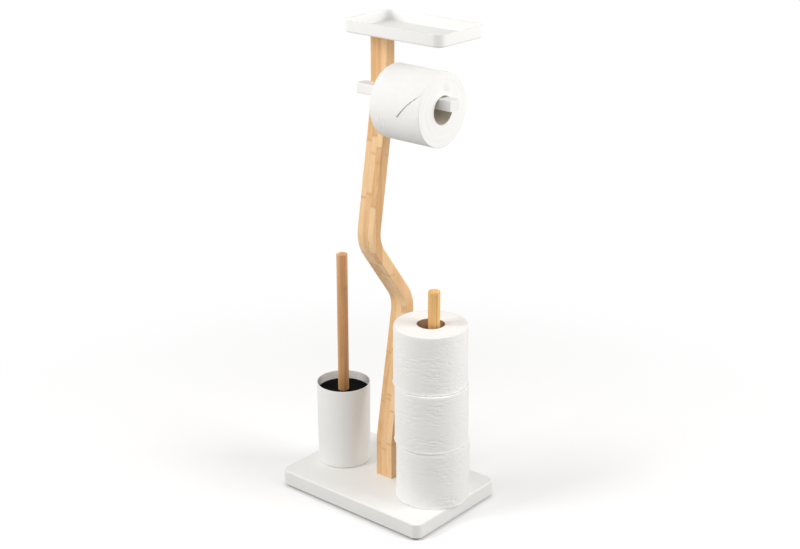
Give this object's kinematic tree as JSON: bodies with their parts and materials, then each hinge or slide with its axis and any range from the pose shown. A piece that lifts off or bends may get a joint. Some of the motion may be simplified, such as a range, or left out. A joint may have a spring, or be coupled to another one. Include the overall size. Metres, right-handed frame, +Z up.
{
  "type": "toilet roll and brush stand",
  "caption": "Free-standing bathroom stand: bent bamboo upright on a painted base, with a tray, a roll arm, a rod for spare rolls and a brush in a cup.",
  "frame": {"origin": "on the floor, at the middle of the whole outline seen from above", "axes": "+Z up along the upright, +X along the base's long side towards the spare rolls, -Y towards the side that the roll arm is on"},
  "size_m": [0.3, 0.2, 0.786],
  "materials": {
    "painted_steel": "satin",
    "bamboo": "satin",
    "roll_paper": "matte",
    "roll_card": "matte",
    "black_plastic": "matte",
    "white_plastic": "satin",
    "bristle_fibre": "matte",
    "base_board_wood": "matte",
    "dark_steel": "matte",
    "zinc_steel": "satin",
    "insert_brass": "satin",
    "black_rubber": "matte"
  },
  "bodies": {
    "stand": {"base_cover": "painted_steel", "base_board": "base_board_wood", "ballast_plate": "dark_steel", "foot_front_left": "black_rubber", "foot_front_right": "black_rubber", "foot_back_left": "black_rubber", "foot_back_right": "black_rubber", "foot_screws": "zinc_steel", "base_bolts": "zinc_steel", "base_washers": "zinc_steel", "threaded_inserts": "insert_brass", "upright": "bamboo", "tray": "painted_steel", "tray_screws": "zinc_steel", "holder_arm": "painted_steel", "arm_cap_left": "white_plastic", "arm_cap_right": "white_plastic", "arm_nut_plate": "zinc_steel", "arm_bolts": "zinc_steel", "spare_roll_rod": "bamboo"},
    "cup": {"brush_cup": "painted_steel"},
    "liner": {"cup_liner": "black_plastic"},
    "brush": {"splash_disc": "black_plastic", "brush_handle": "bamboo", "handle_stud": "zinc_steel", "brush_core": "black_plastic", "bristles": "bristle_fibre"},
    "spare_roll_bottom": {"spare_roll_core_bottom": "roll_card", "spare_roll_paper_bottom": "roll_paper"},
    "spare_roll_middle": {"spare_roll_core_middle": "roll_card", "spare_roll_paper_middle": "roll_paper"},
    "spare_roll_top": {"spare_roll_core_top": "roll_card", "spare_roll_paper_top": "roll_paper"},
    "hanging_roll": {"hanging_roll_core": "roll_card", "hanging_roll_paper": "roll_paper"}
  },
  "joints": [
    {"name": "cup_lift", "type": "slide", "parent": "stand", "child": "cup", "axis": [0, 0, 1], "range_m": [0, 0.1]},
    {"name": "liner_lift", "type": "slide", "parent": "cup", "child": "liner", "axis": [0, 0, 1], "range_m": [0, 0.15]},
    {"name": "brush_lift", "type": "slide", "parent": "liner", "child": "brush", "axis": [0, 0, 1], "range_m": [0, 0.14]},
    {"name": "spare_roll_bottom_lift", "type": "slide", "parent": "stand", "child": "spare_roll_bottom", "axis": [0, 0, 1], "range_m": [0, 0.04]},
    {"name": "spare_roll_middle_lift", "type": "slide", "parent": "spare_roll_bottom", "child": "spare_roll_middle", "axis": [0, 0, 1], "range_m": [0, 0.06]},
    {"name": "spare_roll_top_lift", "type": "slide", "parent": "spare_roll_middle", "child": "spare_roll_top", "axis": [0, 0, 1], "range_m": [0, 0.165]},
    {"name": "hanging_roll_spin", "type": "hinge", "parent": "stand", "child": "hanging_roll", "pos_m": [0.081, -0.028, 0.67042], "axis": [1, 0, 0], "continuous": true}
  ]
}
